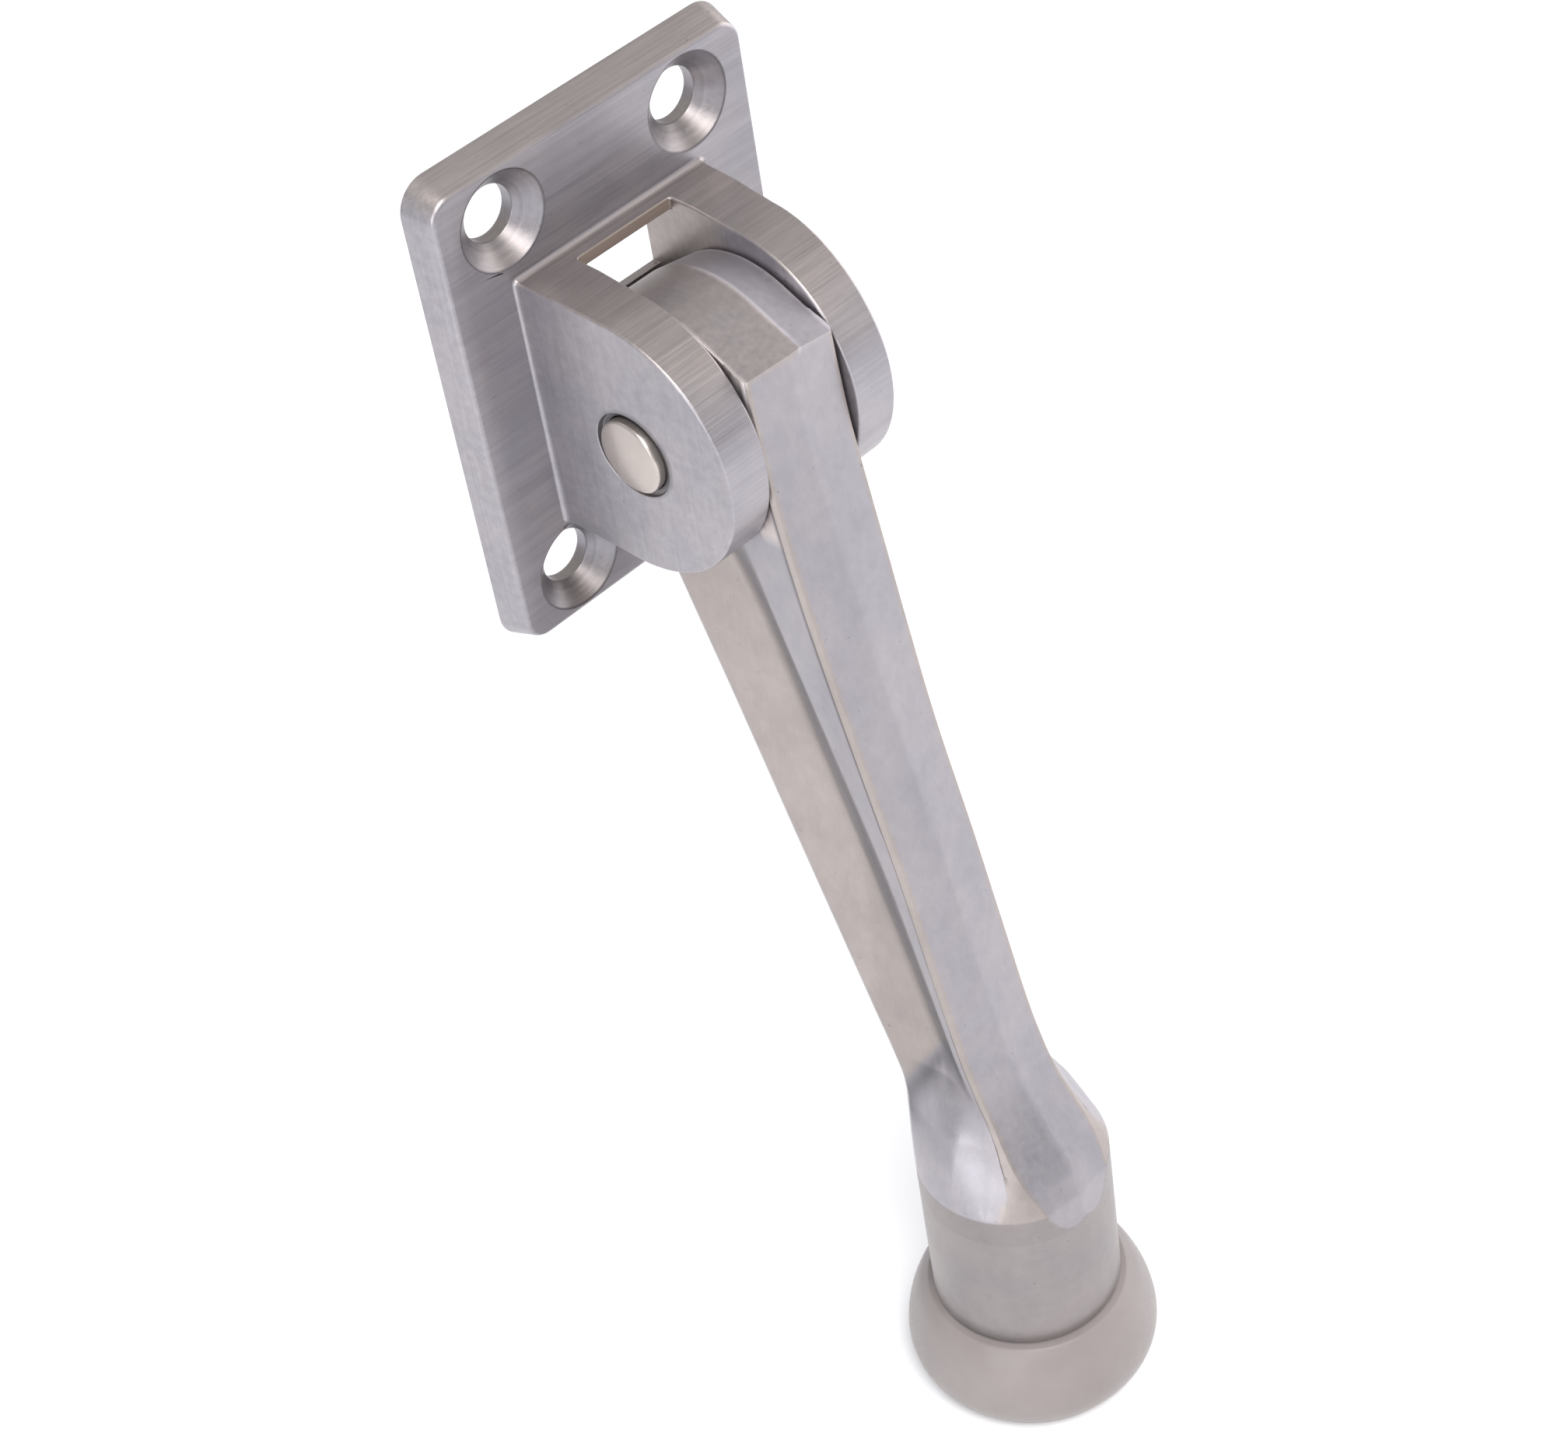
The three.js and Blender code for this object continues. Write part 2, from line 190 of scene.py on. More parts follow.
def combine(target, other, operation):
    step = target.modifiers.new("combine", "BOOLEAN")
    step.operation = operation
    step.solver = "EXACT"
    step.object = other
    graph = bpy.context.evaluated_depsgraph_get()
    made = bpy.data.meshes.new_from_object(target.evaluated_get(graph))
    target.modifiers.clear()
    target.data = made
    bpy.data.objects.remove(other)


def soften(made, width_of, widest, steps=3, sharp=math.radians(28)):
    """Rounds the edges of made: width_of(middle, signed angle) is each sharp edge's width in mm."""
    work = bmesh.new()
    work.from_mesh(made.data)
    bmesh.ops.remove_doubles(work, verts=work.verts, dist=0.002 * MM)
    bmesh.ops.dissolve_limit(work, angle_limit=math.radians(0.4), verts=work.verts, edges=work.edges)
    weights = work.edges.layers.float.new("bevel_weight_edge")
    for edge in work.edges:
        if len(edge.link_faces) != 2:
            continue
        angle = edge.calc_face_angle_signed(0.0)
        if abs(angle) > sharp:
            middle = (edge.verts[0].co + edge.verts[1].co) / 2 / MM
            edge[weights] = width_of(middle, angle) / widest
    work.to_mesh(made.data)
    work.free()
    bevel = made.modifiers.new("edges", "BEVEL")
    bevel.limit_method = "WEIGHT"
    bevel.width = widest * MM
    bevel.segments = steps
    bevel.use_clamp_overlap = False
    bevel.miter_outer = "MITER_ARC"
    bevel.harden_normals = True
    made.data.shade_smooth()


def smooth_by_angle(made, degrees):
    made.data.shade_smooth()
    made.data.set_sharp_from_angle(angle=math.radians(degrees))


# Bracket.


def rounded_ring(half_width, half_height, corner, y):
    steps = 10
    ring = []
    for quarter, (sx, sz) in enumerate(((1, 1), (-1, 1), (-1, -1), (1, -1))):
        for i in range(steps + 1):
            turn = (quarter + i / steps) * math.pi / 2
            x = sx * (half_width - corner) + corner * math.cos(turn)
            z = sz * (half_height - corner) + corner * math.sin(turn)
            ring.append((x, y, z))
    return ring


def plate_solid():
    steps = 5
    levels = [(0.0, 0.0)]
    for i in range(steps + 1):
        turn = i / steps * math.pi / 2
        depth = PLATE_THICKNESS - PLATE_EDGE * (1 - math.sin(turn))
        levels.append((depth, PLATE_EDGE * (1 - math.cos(turn))))
    rings = []
    for depth, inset in levels:
        share = depth / PLATE_THICKNESS
        half_width = PLATE_HALF_WIDTH - PLATE_LEAN_X * share - inset
        half_height = PLATE_HALF_HEIGHT - PLATE_LEAN_Z * share - inset
        corner = PLATE_CORNER - PLATE_LEAN_X * share - inset
        rings.append(rounded_ring(half_width, half_height, corner, -depth))
    return loft("bracket_body", rings)


def ear_solid(side):
    steps = 72
    flat_end = -PLATE_THICKNESS - LEDGE_REACH - EAR_FLAT
    outline = [(-COVER, EAR_BOTTOM), (-COVER, EAR_TOP), (flat_end, EAR_TOP)]
    for i in range(steps + 1):
        turn = math.pi / 2 + i / steps * math.pi
        outline.append((NOSE_Y + NOSE_RADIUS * math.cos(turn), NOSE_Z + NOSE_RADIUS * math.sin(turn)))
    outline.append((-PLATE_THICKNESS, EAR_BOTTOM))
    inside = [(side * EAR_INNER, y, z) for y, z in outline]
    outside = [(side * (EAR_ROOT + EAR_DRAFT * (y + PLATE_THICKNESS)), y, z) for y, z in outline]
    return loft("ear", [inside, outside])


def screw_hole(x, z):
    slope = HOLE_RIM - HOLE_BORE
    profile = [
        (HOLE_BORE, -COVER),
        (HOLE_BORE, PLATE_THICKNESS - slope),
        (HOLE_RIM, PLATE_THICKNESS),
        (HOLE_RIM, PLATE_THICKNESS + COVER),
    ]
    return turned("hole", profile, lambda a, b, height: (x + a, -height, z + b))


def bracket_edge_width(middle, angle):
    """How wide each of the bracket's edges is rounded."""
    near = 0.05
    from_hole = math.hypot(abs(middle.x) - HOLE_X, abs(middle.z) - HOLE_Z)
    from_pin = math.hypot(middle.y - PIVOT_Y, middle.z - PIVOT_Z)
    if from_hole < HOLE_RIM + 2 * near and middle.y > -PLATE_THICKNESS - 0.3:
        return FINE_EDGE
    if abs(middle.y + PLATE_THICKNESS) < near and angle < 0:
        return ROOT_FILLET
    if middle.y > -near:
        return BACK_EDGE
    if from_pin < SPOTFACE + 0.3:
        return PIN_EDGE
    if abs(middle.x) < EAR_INNER + near and middle.y > -PLATE_THICKNESS - near:
        return FINE_EDGE
    if abs(middle.x) < EAR_INNER - near:
        return LEDGE_EDGE
    return OUTER_EDGE


def make_bracket():
    made = plate_solid()
    for side in (-1, 1):
        combine(made, ear_solid(side), "UNION")
    ledge_low = (-EAR_INNER - COVER, -PLATE_THICKNESS - LEDGE_REACH, EAR_TOP - LEDGE_HEIGHT)
    combine(made, box_solid("ledge", ledge_low, (EAR_INNER + COVER, -COVER, EAR_TOP)), "UNION")
    window_low = (-EAR_INNER, -PLATE_THICKNESS - COVER, WINDOW_BOTTOM)
    combine(made, box_solid("window", window_low, (EAR_INNER, COVER, EAR_TOP - LEDGE_HEIGHT)), "DIFFERENCE")
    relief_low = (-RELIEF_HALF_WIDTH, -RELIEF_DEPTH, RELIEF_BOTTOM)
    combine(made, box_solid("relief", relief_low, (RELIEF_HALF_WIDTH, COVER, RELIEF_TOP)), "DIFFERENCE")
    combine(made, bar_x("recess", RECESS_RADIUS, -EAR_INNER, EAR_INNER, 192), "DIFFERENCE")
    combine(made, bar_x("bore", PIN_BORE, -EAR_ROOT - COVER, EAR_ROOT + COVER), "DIFFERENCE")
    for side in (-1, 1):
        ends = sorted((side * SPOTFACE_FLOOR, side * (EAR_ROOT + COVER)))
        combine(made, bar_x("spotface", SPOTFACE, *ends), "DIFFERENCE")
        for up in (-1, 1):
            combine(made, screw_hole(side * HOLE_X, up * HOLE_Z), "DIFFERENCE")
    soften(made, bracket_edge_width, ROOT_FILLET)
    return made


# Arm.

# Stations down the blade: level, depth of the front edge, how far the crease stands out, half width in
# front, length of the flat side, valley of the flute (x, depth), depth of the rear edge, half width behind.
STATIONS = np.array([
    (11.9, -10.99, 0.15, 5.77, 0.4, 5.77, -9.8, -8.5, 5.77),
    (-1.0, -12.2, 0.3, 5.77, 4.0, 5.77, -4.5, 0.0, 5.77),
    (-9.0, -13.5, 0.5, 5.78, 6.0, 5.7, -1.6, 9.6, 5.6),
    (-16.0, -14.8, 0.65, 5.75, 5.5, 3.7, -3.3, 7.75, 5.45),
    (-24.0, -16.4, 0.75, 5.6, 4.7, 3.0, -5.9, 4.95, 5.35),
    (-36.0, -19.05, 0.8, 5.35, 3.4, 2.9, -9.7, 0.45, 5.3),
    (-50.0, -22.6, 0.85, 5.3, 2.0, 2.9, -14.4, -4.7, 5.3),
    (-64.0, -25.75, 0.85, 5.35, 1.1, 3.0, -19.2, -9.9, 5.3),
    (-75.0, -28.4, 0.85, 5.35, 0.8, 3.15, -22.9, -14.1, 5.35),
    (-77.2, -29.15, 0.85, 5.35, 0.8, 3.3, -23.6, -15.0, 5.37),
    (-79.5, -30.0, 0.85, 5.35, 0.8, 4.2, -24.2, -15.9, 5.4),
    (-82.5, -31.4, 0.9, 5.45, 1.2, 4.8, -24.9, -17.1, 5.5),
    (-84.7, -32.4, 1.0, 5.65, 1.9, 5.3, -25.3, -17.6, 5.6),
])

# The shoulder in front: level, depth of the crease, the face's edge (x, depth), the side's edge (x, depth).
FRONT = np.array([
    (-77.2, -30.0, 5.15, -29.15, 5.45, -28.6),
    (-79.5, -30.85, 5.15, -30.0, 5.45, -29.45),
    (-82.5, -32.3, 5.25, -31.4, 5.57, -30.85),
    (-84.7, -33.6, 5.5, -32.6, 5.9, -31.95),
    (-86.3, -34.65, 5.65, -33.55, 6.25, -32.65),
    (-88.0, -35.75, 5.7, -34.6, 6.65, -33.45),
    (-90.0, -36.95, 5.5, -35.9, 7.3, -34.2),
    (-92.8, -38.2, 4.88, -37.5, 8.64, -34.41),
])

# How round the rest of the shoulder is: level, beside the flat strip, at the flute's valley, behind.
ROUND = np.array([
    (-79.5, 0.0, 0.0, 0.0),
    (-82.5, 0.08, 0.3, 0.0),
    (-84.7, 0.2, 0.5, 0.14),
    (-86.3, 0.33, 0.63, 0.45),
    (-88.0, 0.51, 0.76, 0.7),
    (-90.0, 0.73, 0.88, 0.87),
    (-92.8, 1.0, 1.0, 1.0),
])

# The outline's corners from the crease round one side to the rear: the angle each reaches where the arm
# is round, how softly it turns, and how many points lie between it and the next.
CORNER_ANGLES = np.radians([0, 27, 53, 64, 86, 118, 142, 180])
STRAIGHT_STEPS = (12, 4, 10, 10, 16, 4, 8)
ARC_STEPS = 6

# A point's place is its number between those corners, so 1.5 is halfway across the edge band.
FACE_EDGE, SIDE_EDGE, STRIP_END, VALLEY, LIP_TOP = range(1, 6)

# The crease in front is soft at the pivot and sharp this far below it.
CREASE_FADE = 30.0

# Below this level the outlines lie closer together, for the shoulder.
BLADE_END = -76.0

# Levels where the arm's painted tones come and go.
FLUTE_FOOT, SCOOP_DROP, FLUTE_END, SCOOP_START = -76.4, 7.6, -77.0, -80.0
STRIP_WARMS, LINE_ENDS, WALL_ENDS = -89.5, -89.0, -81.0

# How strong the arm's painted tones are. Below nought a shade is brighter than its surroundings. The wall,
# fold and left shades are painted shade; the rear, ridge and rim shades painted highlights; the scoop and
# slope shades painted light. The barrel, line and lip shades are a darker tone and thin dark lines.
BARREL_WARMTH, FLUTE_WARMTH, REAR_WARMTH, TOP_WARMTH, HEAD_WARMTH = 0.55, 0.95, 0.2, 0.8, 0.1
BARREL_SHADE, LINE_SHADE, WALL_SHADE, FOLD_SHADE, LIP_SHADE = 0.2, 0.5, 0.45, 0.4, 0.3
REAR_SHADE, SCOOP_SHADE, LEFT_SHADE = -0.3, -0.12, 0.06
RIDGE_SHADE, RIM_SHADE, SLOPE_SHADE = -0.75, -0.5, -0.12


def curve_through(level, levels, values):
    """A smooth curve through the values at falling levels (cubic Hermite with limited slopes)."""
    x, xs = -level, -levels
    k = int(np.clip(np.searchsorted(xs, x) - 1, 0, len(xs) - 2))
    steps = np.diff(values, axis=0) / np.diff(xs)[:, None]
    slopes = np.vstack([steps[:1], (steps[1:] + steps[:-1]) / 2 * (steps[1:] * steps[:-1] > 0), steps[-1:]])
    width = xs[k + 1] - xs[k]
    t = np.clip((x - xs[k]) / width, 0, 1)
    rise = (2 * t**3 - 3 * t**2 + 1) * values[k] + (3 * t**2 - 2 * t**3) * values[k + 1]
    return rise + width * ((t**3 - 2 * t**2 + t) * slopes[k] + (t**3 - t**2) * slopes[k + 1])


def outline_corners(level):
    """The corners of the outline at a level, and how softly each turns."""
    row = curve_through(max(level, STATIONS[-1, 0]), STATIONS[:, 0], STATIONS[:, 1:])
    front, crease, w, strip, fx, fy, rear, wr = row
    corners = [
        (0.0, front - crease),
        (w - EDGE_IN, front),
        (w + EDGE_IN / 2, front + EDGE),
        (w + EDGE_IN / 2, front + EDGE + strip),
        (fx, fy),
        (wr, rear - LIP),
        (wr - LIP * 0.8, rear),
        (0.0, rear),
    ]
    if level < FRONT[1, 0]:
        crease_y, ex, ey, sx, sy = curve_through(max(level, SOCKET_TURNED), FRONT[:, 0], FRONT[:, 1:])
        corners[:3] = [(0.0, crease_y), (ex, ey), (sx, sy)]
    head = np.clip((level + CREASE_FADE) / CREASE_FADE, 0, 1)
    softness = [0.25 + 1.2 * head, 0.12, 0.1, 0.5, 2.2, 0.35, 0.3, 0.0]
    return np.array(corners), softness


def rounded_path(corners, softness):
    """Points along the outline with its corners rounded, and each point's place between corners."""
    points, places = [corners[0]], [0.0]
    last = len(corners) - 1
    lengths = np.linalg.norm(np.diff(corners, axis=0), axis=1)
    for k in range(last):
        start, end = corners[k], corners[k + 1]
        cut_start = min(softness[k], lengths[k] * 0.45) if k else 0.0
        cut_end = min(softness[k + 1], lengths[k] * 0.45) if k + 1 < last else 0.0
        along = (end - start) / lengths[k]
        first, final = start + along * cut_start, end - along * cut_end
        steps = STRAIGHT_STEPS[k]
        for i in range(1 if k == 0 else 0, steps + 1):
            share = i / steps
            points.append(first + (final - first) * share)
            reach = (cut_start + (lengths[k] - cut_start - cut_end) * share) / lengths[k]
            places.append(k + reach)
        if k + 1 < last:
            onward = corners[k + 2] - end
            onward = onward / np.linalg.norm(onward)
            leave = end + onward * min(softness[k + 1], lengths[k + 1] * 0.45)
            before = k + 1 - cut_end / lengths[k]
            after = k + 1 + min(softness[k + 1], lengths[k + 1] * 0.45) / lengths[k + 1]
            for i in range(1, ARC_STEPS):
                t = i / ARC_STEPS
                points.append((1 - t) ** 2 * final + 2 * t * (1 - t) * end + t**2 * leave)
                places.append(before + (after - before) * t)
    return np.array(points), np.array(places)


def smoothstep(t):
    t = np.clip(t, 0, 1)
    return t * t * (3 - 2 * t)


def arm_outline(level):
    """One side of the arm's outline at a level, from the crease to the rear, and its points' places."""
    corners, softness = outline_corners(level)
    if level >= ROUND[0, 0]:
        return rounded_path(corners, softness)
    down = max(level, SOCKET_TURNED)
    beside, valley, behind = curve_through(down, ROUND[:, 0], ROUND[:, 1:])
    side = np.array([beside, valley, behind, behind, behind])
    band = float(smoothstep((-87.0 - down) / (-87.0 - SOCKET_TURNED)))
    ends = round_points(CORNER_ANGLES)
    corners[3:] += (ends[3:] - corners[3:]) * side[:, None]
    softness[3] += 6 * beside
    fading = [1 - band] * 3 + list(1 - side)
    softness = [max(0.05, soft * fade) for soft, fade in zip(softness, fading)]
    points, places = rounded_path(corners, softness)
    circle = round_points(np.interp(places, range(len(CORNER_ANGLES)), CORNER_ANGLES))
    chord = np.stack([np.interp(places, range(len(ends)), ends[:, i]) for i in range(2)], axis=1)
    bulge = np.interp(places, [2, *range(3, 8)], [beside, *side])
    bulge = np.where(places < 1, 0.0, np.where(places < 2, band, bulge))
    points = points + (circle - chord) * bulge[:, None]
    if level < SOCKET_TURNED:
        sink = (SOCKET_TURNED - level) / (SOCKET_TURNED - TONGUE_END)
        facet = FRONT[-1, 1] - 0.62 * sink + 0.14 * circle[:, 0]
        depth = np.where(places < 1, np.maximum(facet, circle[:, 1]), circle[:, 1])
        points = np.stack([circle[:, 0], depth], axis=1)
    return points, places


def round_points(angles):
    """Points round the socket at angles from its front."""
    return np.stack([SOCKET_RADIUS * np.sin(angles), SOCKET_Y - SOCKET_RADIUS * np.cos(angles)], axis=1)


def arm_levels():
    blade = np.linspace(STATIONS[0, 0], BLADE_END, 58)
    shoulder = np.linspace(BLADE_END, TONGUE_END - 0.4, 84)[1:]
    barrel = [*np.arange(-100.0, SOCKET_RIM, -4.0), SOCKET_RIM + 0.35, SOCKET_RIM + 0.1, SOCKET_RIM]
    return [*blade, *shoulder, *barrel]


def scoop_level(place):
    """The level where the flute ends: high in its valley, lower towards the rear lip."""
    return FLUTE_FOOT - SCOOP_DROP * float(np.clip(place - VALLEY, 0, 1))


def on_barrel(x, y):
    """1 on the turned barrel, falling to 0 where the tongue lies below it."""
    off_round = SOCKET_RADIUS - math.hypot(x, y - SOCKET_Y)
    return float(smoothstep(1 - off_round / 0.04))


def warmth_at(place, level, x, y):
    """How warm the arm's finish looks: the turned barrel, the edge band and the flutes are warmer."""
    if level < SOCKET_TURNED:
        return BARREL_WARMTH if place > FACE_EDGE else BARREL_WARMTH * on_barrel(x, y)
    if place < FACE_EDGE - 0.03:
        return 0.0
    if place < SIDE_EDGE:
        return 1.0
    if place < STRIP_END:
        return float(smoothstep((STRIP_WARMS - level) / 2.0)) * float(smoothstep((2.5 - place) * 2))
    if place < VALLEY - 0.1:
        return 0.0
    if place < LIP_TOP:
        return float(smoothstep((level - scoop_level(place)) / 1.5)) * FLUTE_WARMTH
    return REAR_WARMTH


def shade_at(place, level, x, y):
    """How much darker (or, below nought, brighter) the arm is painted than its surroundings: the
    barrel's darker tone, thin dark lines where the edge band meets the side and along the flute's valley,
    painted shade on the flute's front wall and in the fold where the flute ends, a painted highlight along
    the rear lip, and painted light on the side below the flute's end.
    """
    if level < SOCKET_TURNED:
        return BARREL_SHADE * on_barrel(x, y)
    if SIDE_EDGE - 0.07 < place < SIDE_EDGE + 0.04:
        return LINE_SHADE * float(smoothstep((level - LINE_ENDS) / 2.0))
    if place < SIDE_EDGE or place > LIP_TOP:
        # A painted highlight along the rounded rear lip.
        return REAR_SHADE if LIP_TOP + 0.05 < place < LIP_TOP + 1.5 else 0.0
    # Painted light on the side below where the flute ends.
    below = SCOOP_SHADE * float(smoothstep((scoop_level(place) - 2.0 - level) / 2.0))
    if place < VALLEY:
        # Painted shade on the flute's front wall.
        wall = WALL_SHADE * float(smoothstep((place - STRIP_END) / 0.3))
        wall *= float(smoothstep((level - WALL_ENDS) / 4))
        return wall + below * float(smoothstep((SCOOP_START - level) / 2))
    # Painted shade in the fold where the flute ends.
    fold = math.exp(-(((level - scoop_level(place) + 0.6) / 1.3) ** 2)) * FOLD_SHADE
    lip = LIP_SHADE * (1 - float(smoothstep((place - VALLEY) / 0.06))) * (level > FLUTE_END)
    return max(fold, lip) + below


def blade_solid():
    rings, warmth, shade = [], [], []
    for level in arm_levels():
        side, places = arm_outline(level)
        inset = max(0.0, RIM_CHAMFER - (level - SOCKET_RIM)) * RIM_SLOPE
        if inset:
            side = (0.0, SOCKET_Y) + (side - (0.0, SOCKET_Y)) * (1 - inset / SOCKET_RADIUS)
        back = [(-x, y) for x, y in side[1:-1][::-1]]
        rings.append([(x, PIVOT_Y + y, PIVOT_Z + level) for x, y in [*map(tuple, side), *back]])
        tone = [warmth_at(place, level, *point) for place, point in zip(places, side)]
        dark = [shade_at(place, level, *point) for place, point in zip(places, side)]
        warmth += [*tone, *tone[1:-1][::-1]]
        shade += [*dark, *dark[1:-1][::-1]]
    made = loft("arm_body", rings)
    store_values(made, "warmth", warmth)
    store_values(made, "shade", shade)
    return made


def crest(x):
    """How far the head's top falls away at x: its right side was ground to a slope past a soft ridge."""
    beyond = x - HEAD_RIDGE
    return -HEAD_SLOPE * (beyond + math.hypot(beyond, 0.2)) / 2


def head_top(drum, y):
    """The turn where the drum passes into the straight top, that point, and the top's level at y."""
    reach = math.hypot(CORNER_Y, CORNER_Z)
    turn = math.atan2(CORNER_Z, CORNER_Y) - math.acos(DRUM_RADIUS / reach)
    tangent = (drum * math.cos(turn), drum * math.sin(turn))
    return turn, tangent, tangent[1] + math.tan(turn - math.pi / 2) * (y - tangent[0])


def head_outline(x, inset):
    """The head seen from the side at x, drawn in by inset all round."""
    drum = DRUM_RADIUS + crest(x) - inset
    corner_y = CORNER_Y + HEAD_SETBACK + inset
    top_turn, _, corner_z = head_top(drum - HEAD_SINK, corner_y)
    rear_turn = math.atan2(HEAD_REAR_Z, HEAD_REAR_Y)
    foot = STATIONS[2]
    outline = [(foot[1] + 1.5, foot[0]), (corner_y, corner_z)]
    steps = 110
    for i in range(steps + 1):
        turn = top_turn + i / steps * (rear_turn - top_turn)
        outline.append((drum * math.cos(turn), drum * math.sin(turn)))
    outline.append((foot[7] - 0.3, foot[0]))
    return outline


def head_places():
    """The head's sections from one side to the other: (x, inset), its rims rounded."""
    steps, rim = 4, HEAD_RIM
    turns = [i / steps * math.pi / 2 for i in range(steps + 1)]
    right = [(ARM_HALF_WIDTH - rim * (1 - math.sin(t)), rim * (1 - math.cos(t))) for t in turns]
    left = [(-x, inset) for x, inset in reversed(right)]
    middle = [(float(x), 0.0) for x in np.linspace(-5.2, 5.2, 43)]
    return [*left, *middle, *right]


def head_solid():
    rings = []
    for x, inset in head_places():
        rings.append([(x, PIVOT_Y + y, PIVOT_Z + z) for y, z in head_outline(x, inset)])
    return loft("head", rings)


def tint_head(made):
    """The head's finish: warm left of the ridge, cool right of it, with painted highlights on the ridge and
    rims and the right slope painted lighter. The blade's left front facet gets a little painted shade too."""
    count = len(made.data.vertices)
    places = np.empty(count * 3)
    made.data.vertices.foreach_get("co", places)
    x, y, z = (places.reshape(-1, 3) / MM - (0.0, PIVOT_Y, PIVOT_Z)).T
    tones = {}
    for name in ("warmth", "shade"):
        tones[name] = np.empty(count)
        made.data.attributes[name].data.foreach_get("value", tones[name])
    front = np.interp(-z, -STATIONS[:4, 0], STATIONS[:4, 1])
    top_level, head_foot = CORNER_Z - 0.75, -8.9
    body = (z > head_foot) & (y > front + 1.0) | (z > top_level)
    on_top = body & ((z > top_level) | (np.hypot(y, z) > DRUM_RADIUS - 0.7))
    tones["warmth"][body] = HEAD_WARMTH
    tones["warmth"][on_top & (x < HEAD_RIDGE)] = TOP_WARMTH
    tones["shade"][body] = 0.0
    # Painted highlights on the ridge and the rims, and painted light on the slope right of the ridge.
    ridge = np.exp(-(((x - HEAD_RIDGE - 0.1) / 0.2) ** 2)) * smoothstep((9.0 - np.abs(y + 4.0)) / 4.0)
    rim = smoothstep((np.abs(x) - 5.3) / 0.3)
    top_shade = ridge * RIDGE_SHADE + rim * RIM_SHADE + SLOPE_SHADE * (x > HEAD_RIDGE)
    tones["shade"][on_top] = top_shade[on_top]
    # Painted shade on the blade's left front facet.
    left_face = (x < -0.05) & (y < front + 0.1) & (z < top_level) & (z > TONGUE_END)
    tones["shade"][left_face] += LEFT_SHADE
    for name, values in tones.items():
        store_values(made, name, values)


def head_cutter():
    """What is cut away above the head's straight top."""
    rings = []
    for x in np.linspace(-7.0, 7.0, 71):
        ahead, above = -16.0, 20.0
        _, tangent, level = head_top(DRUM_RADIUS + crest(float(x)), ahead)
        outline = [(ahead, level), tangent, (tangent[0], above), (ahead, above)]
        rings.append([(float(x), PIVOT_Y + y, PIVOT_Z + z) for y, z in outline])
    return loft("cutter", rings)


def below_socket(a, b, depth):
    """The point at (a, b) off the socket's axis and at a depth below its rim."""
    return (a, PIVOT_Y + SOCKET_Y + b, PIVOT_Z + SOCKET_RIM - depth)


def make_arm():
    made = blade_solid()
    combine(made, head_cutter(), "DIFFERENCE")
    combine(made, head_solid(), "UNION")
    combine(made, bar_x("bore", PIN_BORE, -ARM_HALF_WIDTH - COVER, ARM_HALF_WIDTH + COVER), "DIFFERENCE")
    for side in (-1, 1):
        ends = sorted((side * (ARM_HALF_WIDTH - SEAT_DEPTH), side * (ARM_HALF_WIDTH + COVER)))
        combine(made, bar_x("seat", SEAT_RADIUS, *ends), "DIFFERENCE")
    profile = [(SOCKET_BORE + SOCKET_CHAMFER, COVER)]
    profile += [(SOCKET_BORE, -SOCKET_CHAMFER), (SOCKET_BORE, -SOCKET_DEPTH)]
    combine(made, turned("socket_bore", profile, below_socket), "DIFFERENCE")
    tint_head(made)
    smooth_by_angle(made, 40)
    return made


# Pin and tip.


def make_pin():
    end = SPOTFACE_FLOOR + PIN_PROUD
    seat = SPOTFACE_FLOOR + PIN_LIFT
    half = [(PIN_SHANK, seat), (PIN_HEAD - PIN_LIFT, seat)]
    half += [(PIN_HEAD, seat + PIN_LIFT), (PIN_HEAD, end - PIN_RIM)]
    rim_steps, dome_steps = 6, 15
    for i in range(1, rim_steps + 1):
        turn = i / rim_steps * math.radians(78)
        half.append((PIN_HEAD - PIN_RIM * (1 - math.cos(turn)), end - PIN_RIM * (1 - math.sin(turn))))
    rim_radius, rim_height = half[-1]
    for i in range(1, dome_steps):
        share = 1 - i / dome_steps
        half.append((rim_radius * share, rim_height + (end + PIN_DOME - rim_height) * (1 - share**2)))
    profile = [(r, -h) for r, h in reversed(half)] + half
    made = turned("pivot_pin", profile, lambda a, b, height: (height, PIVOT_Y + a, PIVOT_Z + b))
    smooth_by_angle(made, 40)
    return made


TIP_STEM, TIP_STEM_LENGTH, TIP_CHAMFER = 7.2, 13.0, 0.8
TIP_GAP, TIP_DEPTH, TIP_FACE, TIP_CORE = 0.25, 12.65, 6.0, 0.3

# The bell's outline from its mouth down, as (radius, depth below the socket's rim), and the rounding
# of its lower edge, as (across, down).
BELL = np.array([
    (11.5, 0.32), (12.6, 1.65), (13.6, 3.85), (14.25, 6.15), (14.5, 8.3), (14.1, 10.3), (13.1, 11.8),
])
BELL_ROUND = (1.5, 0.85)


def make_tip():
    profile = [(TIP_CORE, -TIP_STEM_LENGTH), (TIP_STEM - TIP_CHAMFER, -TIP_STEM_LENGTH)]
    profile += [(TIP_STEM, TIP_CHAMFER - TIP_STEM_LENGTH), (TIP_STEM, TIP_GAP), (BELL[0, 0] - 0.15, TIP_GAP)]
    for level in np.linspace(BELL[0, 1], BELL[-1, 1], 40):
        profile.append((float(curve_through(-level, -BELL[:, 1], BELL[:, :1])[0]), level))
    across, down = BELL_ROUND
    round_steps = 8
    for i in range(1, round_steps + 1):
        turn = i / round_steps * math.pi / 2
        profile.append((BELL[-1, 0] - across + across * math.cos(turn), BELL[-1, 1] + down * math.sin(turn)))
    profile += [(TIP_FACE, TIP_DEPTH), (TIP_CORE, TIP_DEPTH)]
    made = turned("rubber_foot", profile, below_socket, 128)
    smooth_by_angle(made, 40)
    return made


# Materials.


